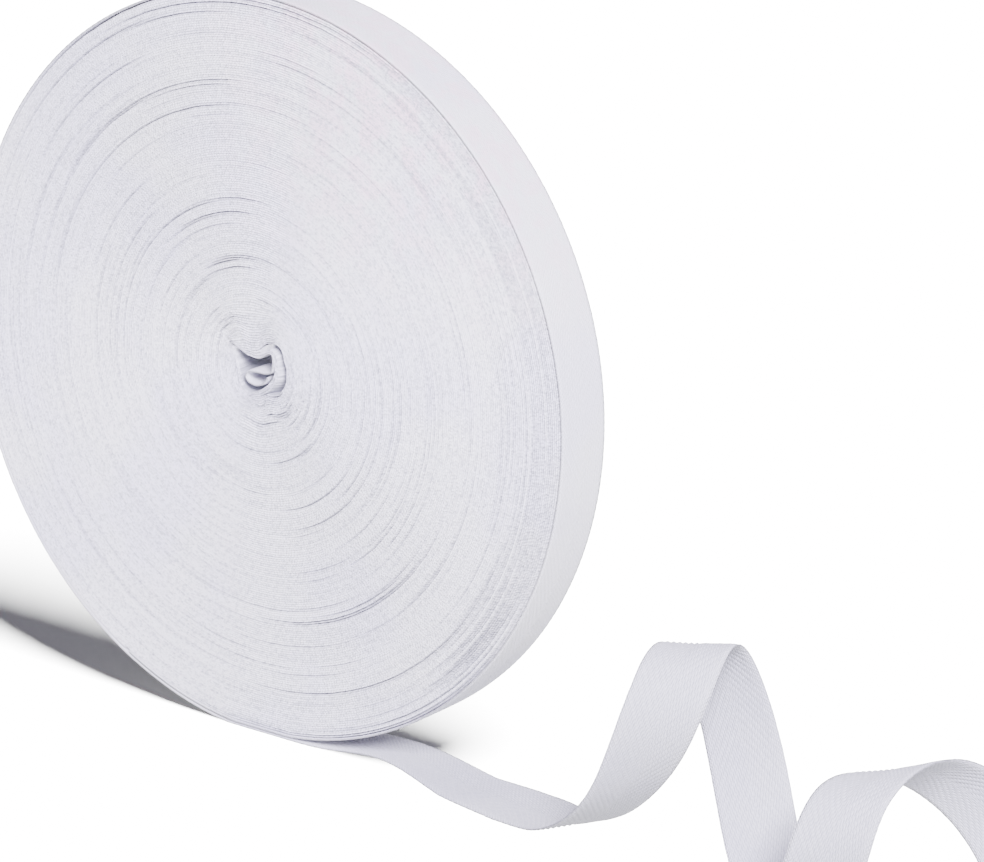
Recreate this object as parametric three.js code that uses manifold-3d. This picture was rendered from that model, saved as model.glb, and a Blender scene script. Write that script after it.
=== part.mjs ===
// A roll of herringbone twill tape that stands on its edge, with a loose end that leaves under
// it, runs along the floor and rises in a corkscrew of two turns.
//
// Millimetres, +Z up. The roll's axis is Y and its front face looks along -Y. The origin is on
// the floor below the middle of the roll, and the loose end leaves along +X.

import * as THREE from 'three';
import * as BufferGeometryUtils from 'three/addons/utils/BufferGeometryUtils.js';
import Module from 'manifold-3d';

// Driving sizes
const ROLL_RADIUS = 75;          // a roll about 150 mm across
const WOUND_WIDTH = 13.2;        // the tape's width where it is wound tight
const LOOSE_WIDTH = 14;          // the same tape relaxed
const SHEET = 1;                 // thickness of the loose end's solid
const GAP = 0.5;                 // clear space between the two solids where they are closest
const SETTLE = 0.43;             // how far the roll presses itself flat on the floor
const EDGE_ROUND = 0.5;          // softened corner between the rim and a face
const LEAVES_AT = 4;             // x where the loose end parts from the roll
const ROW_STEP = 13;             // x between the rows of the route's straight start

const ROLL_CENTRE_Z = ROLL_RADIUS - SETTLE;
const STEP_HEIGHT = SHEET + GAP;
const HALF_WOUND = WOUND_WIDTH / 2;
const HALF_SHEET = SHEET / 2;
const START_X = LEAVES_AT + GAP;

// Meshing
const SECTORS = 84;
const STEP_SECTOR = 0.002;       // width in radians of the sector that holds the spiral's step
const SPAN_STEPS = 6;            // cross lines for each row of the loose end's table

// Open seams between turns on the faces: where each one runs, in degrees from +X, how far it
// reaches to either side of its middle, and how deep it is there
const SEAMS = [
  { radius: 73.4, middle: -5, reach: 75, depth: 0.9 },
  { radius: 66.5, middle: -10, reach: 60, depth: 0.6 },
  { radius: 57, middle: 10, reach: 55, depth: 0.5 },
  { radius: 47.5, middle: 170, reach: 60, depth: 0.5 },
  { radius: 38, middle: 190, reach: 50, depth: 0.5 },
  { radius: 27.5, middle: 5, reach: 60, depth: 0.6 },
];
const SEAM_HALF_WIDTH = 0.9;
const SEAM_FULL_DEPTH = 0.4;     // share of the reach over which a seam keeps its depth

// The crumpled core: its middle from the roll's axis, and the outline of the innermost turn
// around that middle, folded in at its top
const CORE = { x: 1.6, z: 1 };
const CORE_OUTLINE = [
  { angle: 0, reach: 5.9 },
  { angle: 31, reach: 6.7 },
  { angle: 53, reach: 7.4 },
  { angle: 75, reach: 7.1 },
  { angle: 96, reach: 4.3 },
  { angle: 113, reach: 4.2 },
  { angle: 135, reach: 7.4 },
  { angle: 153, reach: 7.0 },
  { angle: 178, reach: 5.1 },
  { angle: 210, reach: 5.3 },
  { angle: 240, reach: 5.8 },
  { angle: 270, reach: 5.6 },
  { angle: 308, reach: 7.2 },
  { angle: 330, reach: 7.8 },
];
const CORE_TURN = 6;             // plain radius that takes on the core's outline
const CRUMPLE_ENDS = 16;         // plain radius from which the turns run round
const CRUMPLE_FALL = 1.6;        // how fast the crumple fades outwards, as a power

// Turns around the core, from the round ones to the innermost: plain radius, and how far the
// turn stands out of the face
const CORE_TURNS = [
  { radius: 16, proud: 0 },
  { radius: 14, proud: -0.35 },
  { radius: 12.2, proud: 0 },
  { radius: 10.4, proud: -0.4 },
  { radius: 8.8, proud: 0 },
  { radius: 7.4, proud: -0.45 },
  { radius: 6, proud: -0.1 },
];
const CORE_SUNK = 0.4;           // how far the fold in the middle lies below the face
const CORE_DRAWN_IN = 0.25;      // how far the fold's edge lies inwards of the innermost turn

// Hollows that run through the core between the folds of the tape's inner end, each as an
// outline on the front face, measured from the roll's axis
const HOLLOWS = {
  underUpperFold: [
    { x: -4.6, z: 4.1 }, { x: -2, z: 3.1 }, { x: 0.2, z: 2.7 }, { x: 2.2, z: 3 },
    { x: 4, z: 4 }, { x: 4.4, z: 2.8 }, { x: 2.6, z: 2.1 }, { x: 0.7, z: 1.9 },
    { x: -1, z: 1.1 }, { x: -2.1, z: 0 }, { x: -2.9, z: 0.6 }, { x: -3.7, z: 2.2 },
  ],
  insideTheLoop: [
    { x: -1.6, z: -1 }, { x: -0.2, z: -0.4 }, { x: 1.5, z: -0.2 }, { x: 2.8, z: -0.3 },
    { x: 1.6, z: -1.2 }, { x: 0.3, z: -1.7 }, { x: -1, z: -1.6 },
  ],
  underTheLoop: [
    { x: -2.5, z: -2.1 }, { x: -1.4, z: -2.7 }, { x: 0, z: -2.9 }, { x: 1.7, z: -2.5 },
    { x: 1, z: -3.4 }, { x: -0.2, z: -3.9 }, { x: -1.6, z: -3.6 },
  ],
  besideTheFold: [
    { x: 3.6, z: 7.6 }, { x: 5.3, z: 7 }, { x: 6.5, z: 5.8 }, { x: 7.1, z: 4 },
    { x: 7.2, z: 1.5 }, { x: 7.4, z: -0.5 }, { x: 8, z: -2.8 }, { x: 7.3, z: -4 },
    { x: 6.6, z: -3.3 }, { x: 6.3, z: -1.5 }, { x: 6.4, z: 0.2 }, { x: 5.9, z: 1.2 },
    { x: 5.6, z: 3 }, { x: 5.2, z: 5 }, { x: 4.4, z: 6.3 }, { x: 3.4, z: 6.9 },
  ],
};

// The loose end's route, as the rows that a smooth curve is drawn by: the middle of the tape,
// the heading of the line across it in degrees from +X, and that line's tilt
const ROUTE = [
  { x: START_X - ROW_STEP, y: 0, z: HALF_SHEET, heading: -90, tilt: 0 },
  { x: START_X, y: 0, z: HALF_SHEET, heading: -90, tilt: 0 },  // start, on the floor
  { x: START_X + ROW_STEP, y: 0, z: HALF_SHEET, heading: -90, tilt: 0 },
  { x: 31, y: 2.2, z: 1.2, heading: -94, tilt: 9 },      // low wave in the first stretch
  { x: 52, y: -5.4, z: 0, heading: -108, tilt: -1 },
  { x: 71.5, y: -7.6, z: 1.6, heading: -104, tilt: -9 }, // first turn of the corkscrew
  { x: 83, y: -14, z: 3, heading: -119, tilt: 5 },
  { x: 101.5, y: -22, z: 17, heading: -111, tilt: 4 },
  { x: 111.5, y: -24, z: 41, heading: -158, tilt: 32 },
  { x: 105.5, y: -4.7, z: 49, heading: -179, tilt: -23 },
  { x: 111, y: 2.3, z: 20, heading: -151, tilt: -15 },
  { x: 125.5, y: -10.8, z: -6, heading: -117, tilt: 7 }, // touches the floor between turns
  { x: 145, y: -24, z: 10.5, heading: -142, tilt: 24 },  // second turn
  { x: 145.5, y: -20, z: 31, heading: -189, tilt: 6 },
  { x: 147.5, y: 8, z: 27, heading: -180, tilt: -42 },
  { x: 159.5, y: 18.5, z: 10, heading: -151, tilt: -40 },
  { x: 174, y: 3, z: -3, heading: -137, tilt: 0 },       // last stretch, flat on the floor
  { x: 188, y: -9, z: HALF_SHEET, heading: -133, tilt: 0 },
  { x: 202, y: -19, z: HALF_SHEET, heading: -130, tilt: 0 },
];

const COTTON = { color: 0xe4e4ea, roughness: 0.92, metalness: 0 };

// Solids made from closed triangle meshes

const wasm = await Module();
wasm.setup();

function toSolid(geometry) {
  const plain = geometry.clone();
  plain.deleteAttribute('normal');
  plain.deleteAttribute('uv');
  const merged = BufferGeometryUtils.mergeVertices(plain, 1e-4);
  return new wasm.Manifold(new wasm.Mesh({
    numProp: 3,
    vertProperties: new Float32Array(merged.attributes.position.array),
    triVerts: new Uint32Array(merged.index.array),
  }));
}

function toGeometry(solid) {
  const mesh = solid.getMesh();
  return closedGeometry(mesh.vertProperties, mesh.triVerts);
}

function closedGeometry(positions, triangles) {
  const geometry = new THREE.BufferGeometry();
  geometry.setAttribute('position', new THREE.BufferAttribute(new Float32Array(positions), 3));
  geometry.setIndex(Array.from(triangles));
  geometry.computeVertexNormals();
  return geometry;
}

// Joins rows of equally many points into a closed tube of faces. The first and the last row are
// closed by a fan around their middles.
function tubeGeometry(rows) {
  const positions = [];
  const triangles = [];
  const count = rows[0].length;
  rows.flat().forEach((point) => positions.push(...point.toArray()));
  for (let row = 0; row + 1 < rows.length; row += 1) {
    for (let i = 0; i < count; i += 1) {
      const next = (i + 1) % count;
      const a = row * count + i;
      const b = row * count + next;
      triangles.push(a, b + count, b, a, a + count, b + count);
    }
  }
  const addFan = (row, flip) => {
    const middle = new THREE.Vector3();
    rows[row].forEach((point) => middle.addScaledVector(point, 1 / count));
    const hub = positions.length / 3;
    positions.push(...middle.toArray());
    for (let i = 0; i < count; i += 1) {
      const a = row * count + i;
      const b = row * count + ((i + 1) % count);
      triangles.push(...(flip ? [hub, b, a] : [hub, a, b]));
    }
  };
  addFan(0, false);
  addFan(rows.length - 1, true);
  return closedGeometry(positions, triangles);
}

// The wound roll

// Angles of the mesh around the roll, from the bottom through +X: even sectors, and one very
// narrow one where the loose end parts and the outline steps up to the turn below
function sectorAngles() {
  const stepAngle = Math.asin(LEAVES_AT / ROLL_RADIUS);
  const angles = [stepAngle, stepAngle + STEP_SECTOR];
  const rest = 2 * Math.PI - STEP_SECTOR;
  for (let i = 1; i < SECTORS; i += 1) {
    angles.push(stepAngle + STEP_SECTOR + (rest * i) / SECTORS);
  }
  return angles;
}

// A point at a radius from the roll's axis, kept above the floor, and above the loose end on
// the side where it leaves
function rollPoint(angle, radius, y, overLooseEnd) {
  const x = radius * Math.sin(angle);
  const lowest = overLooseEnd ? STEP_HEIGHT : 0;
  const z = Math.max(ROLL_CENTRE_Z - radius * Math.cos(angle), lowest);
  return new THREE.Vector3(x, y, z);
}

// The plain radius of the innermost turn's outline in one direction, in degrees from +X
function outlineReach(degrees) {
  const wrapped = ((degrees % 360) + 360) % 360;
  const next = CORE_OUTLINE.findIndex((point) => point.angle > wrapped);
  const to = next < 0 ? { ...CORE_OUTLINE[0], angle: 360 } : CORE_OUTLINE[next];
  const from = next < 0 ? CORE_OUTLINE[CORE_OUTLINE.length - 1] : CORE_OUTLINE[next - 1];
  const t = THREE.MathUtils.smoothstep(wrapped, from.angle, to.angle);
  return THREE.MathUtils.lerp(from.reach, to.reach, t);
}

// A turn near the core: round at CRUMPLE_ENDS, and taking on the core's outline inwards
function crumpledPoint(angle, radius, y) {
  const degrees = THREE.MathUtils.radToDeg(angle) - 90;
  const inwards = (CRUMPLE_ENDS - radius) / (CRUMPLE_ENDS - CORE_TURN);
  const crumple = inwards ** CRUMPLE_FALL;
  const reach = radius + crumple * (outlineReach(degrees) - CORE_TURN);
  return new THREE.Vector3(
    CORE.x * crumple + reach * Math.sin(angle),
    y,
    ROLL_CENTRE_Z + CORE.z * crumple - reach * Math.cos(angle),
  );
}

function seamDepth(seam, angle) {
  const degrees = THREE.MathUtils.radToDeg(angle) - 90;
  const away = Math.abs(THREE.MathUtils.euclideanModulo(degrees - seam.middle + 180, 360) - 180);
  const fadeFrom = seam.reach * SEAM_FULL_DEPTH;
  return seam.depth * (1 - THREE.MathUtils.smoothstep(away, fadeFrom, seam.reach));
}

function faceRows(side) {
  const angles = sectorAngles();
  const ring = (pointAt) => angles.map((angle, i) => pointAt(angle, i > 0 && angle < Math.PI));
  const rows = [
    ring((angle, over) => rollPoint(angle, ROLL_RADIUS, side * (HALF_WOUND - EDGE_ROUND), over)),
    ring((angle, over) => rollPoint(angle, ROLL_RADIUS - EDGE_ROUND, side * HALF_WOUND, over)),
  ];
  SEAMS.forEach((seam) => {
    [1, 0, -1].forEach((offset) => {
      const radius = seam.radius + offset * SEAM_HALF_WIDTH;
      rows.push(ring((angle, over) => {
        const sunk = offset === 0 ? seamDepth(seam, angle) : 0;
        return rollPoint(angle, radius, side * (HALF_WOUND - sunk), over);
      }));
    });
  });
  CORE_TURNS.forEach((turn) => {
    const y = side * (HALF_WOUND + turn.proud);
    rows.push(ring((angle) => crumpledPoint(angle, turn.radius, y)));
  });
  const coreMiddle = new THREE.Vector3(CORE.x, 0, ROLL_CENTRE_Z + CORE.z);
  rows.push(ring((angle) => {
    const point = crumpledPoint(angle, CORE_TURN, 0).lerp(coreMiddle, CORE_DRAWN_IN);
    return point.setY(side * (HALF_WOUND - CORE_SUNK));
  }));
  return rows;
}

function hollowGeometry(outline) {
  const points = outline.map(({ x, z }) => new THREE.Vector2(x, z + ROLL_CENTRE_Z));
  const shape = new THREE.Shape(points);
  const depth = WOUND_WIDTH * 2;
  const geometry = new THREE.ExtrudeGeometry(shape, { depth, bevelEnabled: false });
  geometry.rotateX(Math.PI / 2);
  geometry.translate(0, WOUND_WIDTH, 0);
  return geometry;
}

function woundRoll() {
  const rows = [...faceRows(-1).reverse(), ...faceRows(1)];
  let roll = toSolid(tubeGeometry(rows));
  Object.values(HOLLOWS).forEach((outline) => {
    roll = roll.subtract(toSolid(hollowGeometry(outline)));
  });
  return toGeometry(roll);
}

// The loose end

// Weights of four neighbouring rows in a uniform cubic B-spline
function splineWeights(t) {
  return [
    (1 - t) ** 3 / 6,
    (3 * t ** 3 - 6 * t ** 2 + 4) / 6,
    (-3 * t ** 3 + 3 * t ** 2 + 3 * t + 1) / 6,
    t ** 3 / 6,
  ];
}

function routeAt(step) {
  const row = Math.min(Math.floor(step / SPAN_STEPS), ROUTE.length - 4);
  const weights = splineWeights(step / SPAN_STEPS - row);
  const blend = (key) => weights.reduce((sum, w, i) => sum + w * ROUTE[row + i][key], 0);
  const heading = THREE.MathUtils.degToRad(blend('heading'));
  const tilt = THREE.MathUtils.degToRad(blend('tilt'));
  return {
    middle: new THREE.Vector3(blend('x'), blend('y'), blend('z')),
    across: new THREE.Vector3(
      Math.cos(tilt) * Math.cos(heading),
      Math.cos(tilt) * Math.sin(heading),
      Math.sin(tilt),
    ),
  };
}

// The four corners of the tape's section at one step, with nothing below the floor
function looseSection(step, lastStep) {
  const { middle, across } = routeAt(step);
  const before = routeAt(Math.max(step - 0.5, 0)).middle;
  const after = routeAt(Math.min(step + 0.5, lastStep)).middle;
  const along = after.sub(before).normalize();
  const up = new THREE.Vector3().crossVectors(across, along).normalize();
  const corner = (side, face) => {
    const point = middle.clone().addScaledVector(across, (side * LOOSE_WIDTH) / 2);
    point.z = Math.max(point.z, HALF_SHEET);
    point.addScaledVector(up, face * HALF_SHEET);
    point.z = Math.max(point.z, 0);
    return point;
  };
  return [corner(-1, -1), corner(1, -1), corner(1, 1), corner(-1, 1)];
}

function looseEnd() {
  const lastStep = (ROUTE.length - 3) * SPAN_STEPS;
  const rows = [];
  for (let step = 0; step <= lastStep; step += 1) {
    rows.push(looseSection(step, lastStep));
  }
  return tubeGeometry(rows);
}

// The scene graph

function addPiece(group, name, geometry) {
  const mesh = new THREE.Mesh(geometry, new THREE.MeshStandardMaterial(COTTON));
  mesh.name = name;
  group.add(mesh);
}

const tapeRoll = new THREE.Group();
addPiece(tapeRoll, 'wound_roll', woundRoll());
addPiece(tapeRoll, 'loose_end', looseEnd());

export default tapeRoll;
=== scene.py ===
"""A roll of herringbone twill tape: the looks of its wound turns, folded core and loose end."""

import math

import bpy
import numpy as np
from bpy.props import (
    FloatProperty,
    FloatVectorProperty,
    IntProperty,
    PointerProperty,
)
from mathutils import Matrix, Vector


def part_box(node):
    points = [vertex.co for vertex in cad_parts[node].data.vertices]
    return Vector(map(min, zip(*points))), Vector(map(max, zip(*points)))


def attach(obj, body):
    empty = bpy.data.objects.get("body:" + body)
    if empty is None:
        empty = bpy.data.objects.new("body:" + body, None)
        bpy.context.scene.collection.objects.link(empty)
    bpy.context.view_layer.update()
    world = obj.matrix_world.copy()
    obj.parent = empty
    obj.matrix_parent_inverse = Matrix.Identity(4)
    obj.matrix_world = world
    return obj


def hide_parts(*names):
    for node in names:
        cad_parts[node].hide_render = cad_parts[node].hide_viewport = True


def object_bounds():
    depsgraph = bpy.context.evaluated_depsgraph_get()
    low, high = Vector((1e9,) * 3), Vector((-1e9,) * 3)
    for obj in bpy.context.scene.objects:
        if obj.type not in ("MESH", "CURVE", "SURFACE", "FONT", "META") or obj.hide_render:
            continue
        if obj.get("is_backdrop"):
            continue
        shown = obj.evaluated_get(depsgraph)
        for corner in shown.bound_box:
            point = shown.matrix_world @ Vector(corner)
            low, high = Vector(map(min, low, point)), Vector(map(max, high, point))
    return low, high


bl_info = {
    "name": "Roll of twill tape",
    "version": (1, 0, 0),
    "blender": (4, 5, 0),
    "location": "View3D > Sidebar > Twill tape",
    "description": "Winds a coreless roll of herringbone tape with a curled loose end",
    "category": "Add Mesh",
}

MM = 0.001

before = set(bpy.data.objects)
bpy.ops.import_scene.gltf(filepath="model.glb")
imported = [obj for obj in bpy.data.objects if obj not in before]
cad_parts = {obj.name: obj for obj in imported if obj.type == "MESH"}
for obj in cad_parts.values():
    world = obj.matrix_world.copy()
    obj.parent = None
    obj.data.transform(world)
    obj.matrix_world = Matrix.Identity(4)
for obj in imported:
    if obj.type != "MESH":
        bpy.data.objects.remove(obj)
cad_low, cad_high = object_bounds()
_roll_low, roll_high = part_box("wound_roll")

# The roll as the frame has it
ROLL_RADIUS = 75 * MM
ROLL_CENTRE = Vector((0, 0, roll_high.z - ROLL_RADIUS))
LEAVES_AT = 4 * MM  # how far along the floor the tape leaves the roll

# The loose end's route, as rows of a smooth curve: x, y and z of the middle of the tape in
# millimetres, the heading of the line across it in degrees from +X, and that line's tilt
ROUTE = (
    (-8.5, 0, 0.5, -90, 0),
    (4.5, 0, 0.5, -90, 0),
    (17.5, 0, 0.5, -90, 0),
    (31, 2.2, 1.2, -94, 9),
    (52, -5.4, 0, -108, -1),
    (71.5, -7.6, 1.6, -104, -9),
    (83, -14, 3, -119, 5),
    (101.5, -22, 17, -111, 4),
    (111.5, -24, 41, -158, 32),
    (105.5, -4.7, 49, -179, -23),
    (111, 2.3, 20, -151, -15),
    (125.5, -10.8, -6, -117, 7),
    (145, -24, 10.5, -142, 24),
    (145.5, -20, 31, -189, 6),
    (147.5, 8, 27, -180, -42),
    (159.5, 18.5, 10, -151, -40),
    (174, 3, -3, -137, 0),
    (188, -9, 0.5, -133, 0),
    (202, -19, 0.5, -130, 0),
)
SOLID_HALF_SHEET = 0.5  # millimetres, half the thickness of the frame's loose end

# Outlines around the core, as seen from the front: degrees from +X and reach in millimetres.
# The first is the innermost turn, folded in at its top. The second is a turn halfway out.
CORE_OUTLINE = (
    (0, 4.1), (25, 4.5), (43, 4.9), (52, 4.5), (62, 3.2), (75, 2.2), (105, 2.0), (127, 2.6),
    (138, 4.0), (146, 6.0), (153, 6.2), (163, 5.5), (181, 4.8), (202, 4.8), (221, 5.2),
    (240, 5.2), (257, 4.8), (277, 4.0), (301, 3.5), (324, 3.4), (345, 3.8), (360, 4.1),
)
HALFWAY_OUTLINE = (
    (0, 9.0), (30, 9.3), (50, 9.7), (65, 9.6), (77, 9.0), (90, 8.3), (102, 8.3), (112, 9.0),
    (124, 10.0), (137, 10.1), (152, 9.6), (175, 9.0), (205, 9.0), (235, 9.0), (262, 8.6),
    (278, 9.1), (292, 8.7), (308, 9.3), (330, 9.1), (360, 9.0),
)
OUTLINE_FULL = 20.0  # millimetres of reach at the top of the outline curves

# Width of the slot beside the folded strand, in millimetres by degrees from +X
SLOT_WIDTH = (
    (0, 2.1), (20, 2.1), (42, 2.1), (60, 1.9), (72, 1.2), (84, 0), (180, 0), (296, 0),
    (308, 0.7), (322, 1.6), (342, 2.0), (360, 2.1),
)

# The folded inner end, as points on the front face in millimetres from the roll's axis
FOLD = (
    (4.45, 4.2), (4.6, 3.4), (4.62, 2.4), (4.45, 1.4), (4.0, 0.55), (3.1, 0.15), (1.5, 0.05),
    (0, 0.1), (-1.3, 0), (-2.1, -0.45), (-2.45, -1.25), (-2.05, -2.1), (-0.9, -2.6),
    (0.5, -2.65), (1.7, -2.3), (2.5, -1.6), (3.0, -1.0), (3.3, -0.5),
)


class RollSizes(bpy.types.PropertyGroup):
    """Sizes of the wound turns"""

    turns: FloatProperty(
        name="Turns", description="Turns that show on each face", default=153.92, min=10,
    )
    steps: IntProperty(name="Steps", description="Steps around one turn", default=300, min=24)
    pitch: FloatProperty(
        name="Pitch", description="From one turn to the next",
        default=0.45 * MM, subtype="DISTANCE",
    )
    first_reach: FloatProperty(
        name="First reach", description="Mean radius of the innermost turn",
        default=4.3 * MM, subtype="DISTANCE",
    )
    round_from: FloatProperty(
        name="Round from", description="Radius from which the turns run round",
        default=15 * MM, subtype="DISTANCE",
    )
    groove: FloatProperty(
        name="Groove", description="How deep the line between two turns is",
        default=0.19 * MM, subtype="DISTANCE",
    )
    open_seam: FloatProperty(
        name="Open seam", description="How much deeper the groove is where two turns part",
        default=0.8 * MM, subtype="DISTANCE",
    )
    wander: FloatProperty(
        name="Wander", description="How far a turn's edge strays in or out of the face",
        default=0.18 * MM, subtype="DISTANCE",
    )


class TapeSizes(bpy.types.PropertyGroup):
    """Sizes of the tape itself"""

    wound_width: FloatProperty(
        name="Wound width", description="Width where the tape is wound tight",
        default=13.2 * MM, subtype="DISTANCE",
    )
    loose_width: FloatProperty(
        name="Loose width", description="Width where the tape lies free",
        default=14 * MM, subtype="DISTANCE",
    )
    thickness: FloatProperty(
        name="Thickness", description="From face to face, between the ribs",
        default=0.46 * MM, subtype="DISTANCE",
    )
    rib_pitch: FloatProperty(
        name="Rib pitch", description="From rib to rib along the tape",
        default=2.0 * MM, subtype="DISTANCE",
    )
    rib_height: FloatProperty(
        name="Rib height", description="How far a rib stands out",
        default=0.13 * MM, subtype="DISTANCE",
    )
    rib_angle: FloatProperty(
        name="Rib angle", description="Angle of the ribs from the tape's length",
        default=math.radians(30), subtype="ANGLE",
    )
    yarn: FloatProperty(
        name="Yarn", description="Width of one yarn of the weave",
        default=0.36 * MM, subtype="DISTANCE",
    )
    selvage: FloatProperty(
        name="Selvage", description="Smooth border along each edge",
        default=1.1 * MM, subtype="DISTANCE",
    )


class CottonColours(bpy.types.PropertyGroup):
    """Colours of the cotton"""

    yarn: FloatVectorProperty(
        name="Yarn", description="The undyed white of the yarn",
        default=(0.86, 0.85, 0.89), subtype="COLOR", size=3, min=0, max=1,
    )
    # Shade is the colour of painted shade, for the yarn down between the ribs and turns
    shade: FloatVectorProperty(
        name="Shade", description="The yarn down between the ribs and turns",
        default=(0.36, 0.36, 0.42), subtype="COLOR", size=3, min=0, max=1,
    )
    blush: FloatVectorProperty(
        name="Blush", description="The faint pink near the top of the roll",
        default=(0.92, 0.73, 0.84), subtype="COLOR", size=3, min=0, max=1,
    )
    lilac: FloatVectorProperty(
        name="Lilac", description="The cool tint in places",
        default=(0.78, 0.76, 0.92), subtype="COLOR", size=3, min=0, max=1,
    )


class StageSettings(bpy.types.PropertyGroup):
    """Camera, light and floor"""

    distance: FloatProperty(
        name="Camera distance", description="From the middle of the roll",
        default=850 * MM, subtype="DISTANCE",
    )
    azimuth: FloatProperty(
        name="Camera azimuth", description="Around the roll, from its front towards +X",
        default=math.radians(40.68), subtype="ANGLE",
    )
    elevation: FloatProperty(
        name="Camera elevation", description="Above the level of the roll's middle",
        default=math.radians(16.74), subtype="ANGLE",
    )
    aim_azimuth: FloatProperty(
        name="Aim azimuth", description="The way the camera looks back from",
        default=math.radians(37.73), subtype="ANGLE",
    )
    aim_elevation: FloatProperty(
        name="Aim elevation", description="The slope that the camera looks down",
        default=math.radians(17.63), subtype="ANGLE",
    )
    lens: FloatProperty(name="Lens", description="Focal length in millimetres", default=160.1)
    key_azimuth: FloatProperty(
        name="Key azimuth", description="Around the roll, from its front towards +X",
        default=math.radians(50), subtype="ANGLE",
    )
    key_elevation: FloatProperty(
        name="Key elevation", description="Of the main light above the roll's middle",
        default=math.radians(34), subtype="ANGLE",
    )
    shadow_azimuth: FloatProperty(
        name="Shadow azimuth", description="Around the roll, of the light that casts its shadow",
        default=math.radians(69), subtype="ANGLE",
    )
    shadow_elevation: FloatProperty(
        name="Shadow elevation", description="Of that light",
        default=math.radians(56), subtype="ANGLE",
    )
    key_distance: FloatProperty(
        name="Key distance", description="Of the main light from the roll's middle",
        default=1.2, subtype="DISTANCE",
    )
    key_size: FloatProperty(
        name="Key size", description="Across the main light", default=0.45, subtype="DISTANCE",
    )
    key_power: FloatProperty(name="Key power", description="Of the main light", default=75, unit="POWER")
    room_light: FloatProperty(name="Room light", description="Even light from all around", default=0.6)
    floor_light: FloatProperty(
        name="Floor light", description="Of the light that overexposes the floor", default=230.0,
    )
    floor_light_angle: FloatProperty(
        name="Floor light angle", description="How wide that light is, which softens the shadow",
        default=math.radians(19), subtype="ANGLE",
    )
    floor_bounce: FloatProperty(
        name="Floor bounce", description="Light that the floor throws back", default=1.0,
    )
    tint: FloatVectorProperty(
        name="Light tint", description="Colour of the light",
        default=(0.87, 0.84, 1.0), subtype="COLOR", size=3, min=0, max=1,
    )


# Node trees written as arithmetic


class Number:
    """A number that a node tree works out, used in ordinary arithmetic."""

    def __init__(self, tree, socket):
        self.tree = tree
        self.socket = socket

    def math(self, operation, *others):
        return self.tree.math(operation, self, *others)

    def __add__(self, other):
        return self.math("ADD", other)

    def __radd__(self, other):
        return self.tree.math("ADD", other, self)

    def __sub__(self, other):
        return self.math("SUBTRACT", other)

    def __rsub__(self, other):
        return self.tree.math("SUBTRACT", other, self)

    def __mul__(self, other):
        return self.math("MULTIPLY", other)

    def __rmul__(self, other):
        return self.tree.math("MULTIPLY", other, self)

    def __truediv__(self, other):
        return self.math("DIVIDE", other)

    def __rtruediv__(self, other):
        return self.tree.math("DIVIDE", other, self)

    def __pow__(self, other):
        return self.math("POWER", other)

    def __neg__(self):
        return self.math("MULTIPLY", -1)


class Tree:
    """Adds nodes to a tree and links them."""

    def __init__(self, node_tree):
        self.node_tree = node_tree

    def feed(self, socket, value):
        if isinstance(value, Number):
            value = value.socket
        if isinstance(value, bpy.types.NodeSocket):
            self.node_tree.links.new(value, socket)
        else:
            socket.default_value = value

    def add(self, kind, inputs=None, **settings):
        node = self.node_tree.nodes.new(kind)
        for name, value in settings.items():
            setattr(node, name, value)
        for key, value in (inputs or {}).items():
            self.feed(node.inputs[key], value)
        return node

    def math(self, operation, *values):
        node = self.add("ShaderNodeMath", operation=operation)
        for socket, value in zip(node.inputs, values):
            self.feed(socket, value)
        return Number(self, node.outputs[0])

    def least(self, a, b):
        return self.math("MINIMUM", a, b)

    def most(self, a, b):
        return self.math("MAXIMUM", a, b)

    def clamped(self, value):
        return self.least(self.most(value, 0), 1)

    def step_between(self, value, low, high):
        """0 below low, 1 above high, and smooth in between."""
        t = self.clamped((value - low) / (high - low))
        return t * t * (3 - 2 * t)

    def mixed(self, a, b, share):
        return a + (b - a) * share

    def vector(self, x, y, z):
        node = self.add("ShaderNodeCombineXYZ", {"X": x, "Y": y, "Z": z})
        return node.outputs[0]

    def parts(self, vector):
        node = self.add("ShaderNodeSeparateXYZ", {0: vector})
        return [Number(self, socket) for socket in node.outputs]

    def vector_math(self, operation, *values):
        node = self.add("ShaderNodeVectorMath", operation=operation)
        vectors = [s for s in node.inputs if s.type == "VECTOR"]
        for socket, value in zip(vectors, values):
            self.feed(socket, value)
        return node.outputs["Vector"]

    def scaled(self, vector, factor):
        node = self.add("ShaderNodeVectorMath", {0: vector, "Scale": factor}, operation="SCALE")
        return node.outputs["Vector"]

    def noise(self, vector, scale, detail=2.0, roughness=0.5):
        node = self.add(
            "ShaderNodeTexNoise",
            {"Vector": vector, "Scale": scale, "Detail": detail, "Roughness": roughness},
        )
        return Number(self, node.outputs[0])

    def curve(self, share, rows, full):
        """Reads a table of (degrees, value) rows at a share of the whole circle."""
        node = self.add("ShaderNodeFloatCurve", {"Value": share})
        points = node.mapping.curves[0].points
        points[0].location = (0, rows[0][1] / full)
        points[1].location = (1, rows[-1][1] / full)
        for degrees, value in rows[1:-1]:
            points.new(degrees / 360, value / full)
        node.mapping.update()
        return Number(self, node.outputs[0]) * full


def new_tree(name, kind, inputs, outputs):
    """A node group with named inputs (name, socket kind, default) and outputs (name, kind)."""
    node_tree = bpy.data.node_groups.new(name, kind)
    face = node_tree.interface
    for socket_name, socket_kind, default in inputs:
        socket = face.new_socket(socket_name, in_out="INPUT", socket_type=socket_kind)
        if default is not None:
            socket.default_value = default
    for socket_name, socket_kind in outputs:
        face.new_socket(socket_name, in_out="OUTPUT", socket_type=socket_kind)
    tree = Tree(node_tree)
    given = {}
    for socket in tree.add("NodeGroupInput").outputs:
        if socket.name:
            number = socket.type in {"VALUE", "INT"}
            given[socket.name] = Number(tree, socket) if number else socket
    return tree, given


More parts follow.
